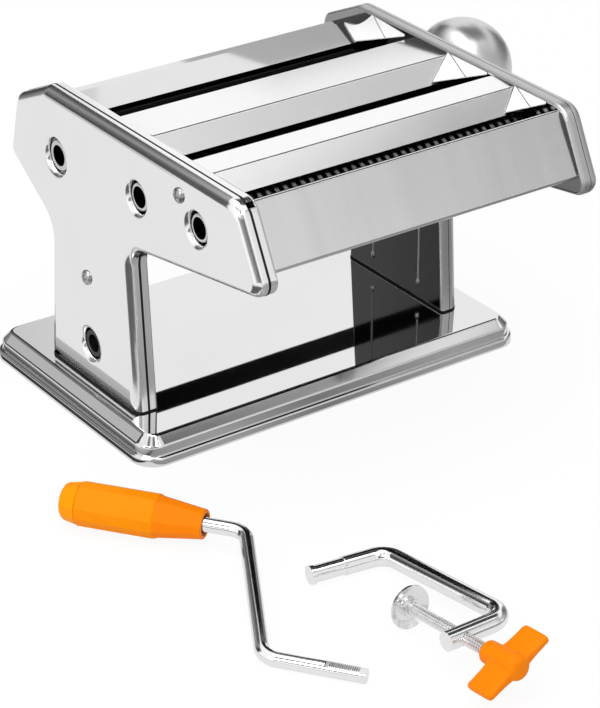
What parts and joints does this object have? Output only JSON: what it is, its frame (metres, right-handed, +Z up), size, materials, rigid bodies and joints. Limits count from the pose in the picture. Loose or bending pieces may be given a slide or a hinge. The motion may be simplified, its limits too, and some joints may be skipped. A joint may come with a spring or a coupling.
{
  "type": "pasta roller",
  "caption": "Hand-cranked chrome pasta roller with a smooth roller pair, wide and narrow cutters, a thickness knob, and a loose crank and table clamp with orange grips.",
  "frame": {"origin": "middle of the base's underside", "axes": "+X along the rollers towards the thickness knob, +Y towards the back, +Z up"},
  "size_m": [0.2781, 0.3506, 0.1403],
  "materials": {
    "side_chrome": "polished chrome plate",
    "frame_chrome": "polished chrome plate",
    "cover_steel": "bright sheet with a light grain",
    "base_chrome": "polished chrome plate",
    "roller_steel": "ground steel",
    "cutter_steel": "turned bright steel",
    "comb_steel": "stamped steel",
    "gear_steel": "cut steel, lightly oiled",
    "bush_brass": "turned brass",
    "rod_chrome": "polished chrome plate",
    "screw_steel": "zinc plate",
    "knob_chrome": "polished chrome plate",
    "fastener_steel": "zinc plate",
    "works_steel": "plain steel",
    "orange_grip": "moulded orange plastic",
    "orange_wing": "moulded orange plastic"
  },
  "bodies": {
    "machine": {"left_outer_cover": "side_chrome", "left_inner_frame": "frame_chrome", "right_inner_frame": "frame_chrome", "right_outer_cover": "side_chrome", "rear_cover": "cover_steel", "middle_ridge_cover": "cover_steel", "front_ridge_cover": "cover_steel", "front_panel": "cover_steel", "base_plate": "base_chrome", "base_bottom_plate": "base_chrome", "wide_comb_rear": "comb_steel", "wide_comb_front": "comb_steel", "narrow_comb_rear": "comb_steel", "narrow_comb_front": "comb_steel", "left_bushes": "bush_brass", "right_bushes": "bush_brass", "clamp_socket": "works_steel", "rear_scraper": "works_steel", "index_plate": "works_steel", "left_cover_screws": "fastener_steel", "right_cover_screws": "fastener_steel", "tie_rods": "fastener_steel", "left_tie_nuts": "fastener_steel", "right_tie_nuts": "fastener_steel", "leg_screws": "fastener_steel"},
    "rear_roller": {"rear_smooth_roller": "roller_steel", "rear_roller_gear": "gear_steel"},
    "gap_carriage": {"gap_block_left": "works_steel", "gap_block_right": "works_steel", "gap_tie_bar": "works_steel"},
    "front_roller": {"front_smooth_roller": "roller_steel", "front_roller_gear": "gear_steel"},
    "wide_rear": {"wide_cutter_rear": "cutter_steel", "wide_gear_rear": "gear_steel"},
    "wide_front": {"wide_cutter_front": "cutter_steel", "wide_gear_front": "gear_steel"},
    "narrow_rear": {"narrow_cutter_rear": "cutter_steel", "narrow_gear_rear": "gear_steel"},
    "narrow_front": {"narrow_cutter_front": "cutter_steel", "narrow_gear_front": "gear_steel"},
    "setting_spindle": {"knob_spindle": "works_steel"},
    "setting_knob": {"knob": "knob_chrome", "knob_index_pin": "works_steel"},
    "crank": {"crank_rod": "rod_chrome"},
    "crank_handle": {"crank_grip": "orange_grip", "crank_grip_cap": "orange_grip"},
    "clamp": {"clamp_frame": "rod_chrome"},
    "clamp_press": {"clamp_pressure_disc": "screw_steel"},
    "clamp_spindle": {"clamp_screw": "screw_steel", "clamp_wing_knob": "orange_wing"}
  },
  "joints": [
    {"name": "rear_roller_spin", "type": "hinge", "parent": "machine", "child": "rear_roller", "pos_m": [0, 0.0179, 0.1109], "axis": [1, 0, 0], "continuous": true},
    {"name": "roller_gap", "type": "slide", "parent": "machine", "child": "gap_carriage", "axis": [0, -0.9833, 0.1819], "range_m": [0, 0.00245]},
    {"name": "front_roller_spin", "type": "hinge", "parent": "gap_carriage", "child": "front_roller", "pos_m": [0, -0.01376, 0.11676], "axis": [1, 0, 0], "continuous": true},
    {"name": "wide_rear_spin", "type": "hinge", "parent": "machine", "child": "wide_rear", "pos_m": [0, -0.04591, 0.11579], "axis": [1, 0, 0], "continuous": true},
    {"name": "wide_front_spin", "type": "hinge", "parent": "machine", "child": "wide_front", "pos_m": [0, -0.0658, 0.11731], "axis": [1, 0, 0], "continuous": true},
    {"name": "narrow_rear_spin", "type": "hinge", "parent": "machine", "child": "narrow_rear", "pos_m": [0, -0.09018, 0.11918], "axis": [1, 0, 0], "continuous": true},
    {"name": "narrow_front_spin", "type": "hinge", "parent": "machine", "child": "narrow_front", "pos_m": [0, -0.11008, 0.1207], "axis": [1, 0, 0], "continuous": true},
    {"name": "knob_turn", "type": "hinge", "parent": "machine", "child": "setting_spindle", "pos_m": [0, -0.01497, 0.11698], "axis": [1, 0, 0], "range_deg": [0, 130]},
    {"name": "knob_pull", "type": "slide", "parent": "setting_spindle", "child": "setting_knob", "axis": [1, 0, 0], "range_m": [0, 0.005]},
    {"name": "crank_lift", "type": "slide", "parent": "machine", "child": "crank", "axis": [0, 0, 1], "range_m": [0, 0.1]},
    {"name": "crank_grip_spin", "type": "hinge", "parent": "crank", "child": "crank_handle", "pos_m": [-0.11849, -0.11727, 0.0094], "axis": [-0.6004, 0.7997, 0], "continuous": true},
    {"name": "clamp_lift", "type": "slide", "parent": "machine", "child": "clamp", "axis": [0, 0, 1], "range_m": [0, 0.1]},
    {"name": "clamp_feed", "type": "slide", "parent": "clamp", "child": "clamp_press", "axis": [-0.0183, 0.9936, -0.1115], "range_m": [-0.00875, 0.005]},
    {"name": "clamp_screw_turn", "type": "hinge", "parent": "clamp_press", "child": "clamp_spindle", "pos_m": [-0.0802, -0.2332, 0.01036], "axis": [-0.0183, 0.9936, -0.1115], "range_deg": [-2520, 1440]}
  ],
  "couplings": [
    {"joint": "front_roller_spin", "follows": "rear_roller_spin", "ratio": -1},
    {"joint": "wide_front_spin", "follows": "wide_rear_spin", "ratio": -1},
    {"joint": "narrow_front_spin", "follows": "narrow_rear_spin", "ratio": -1},
    {"joint": "knob_turn", "follows": "roller_gap", "rad_per_m": 927.23},
    {"joint": "clamp_screw_turn", "follows": "clamp_feed", "rad_per_m": 5026.5}
  ]
}
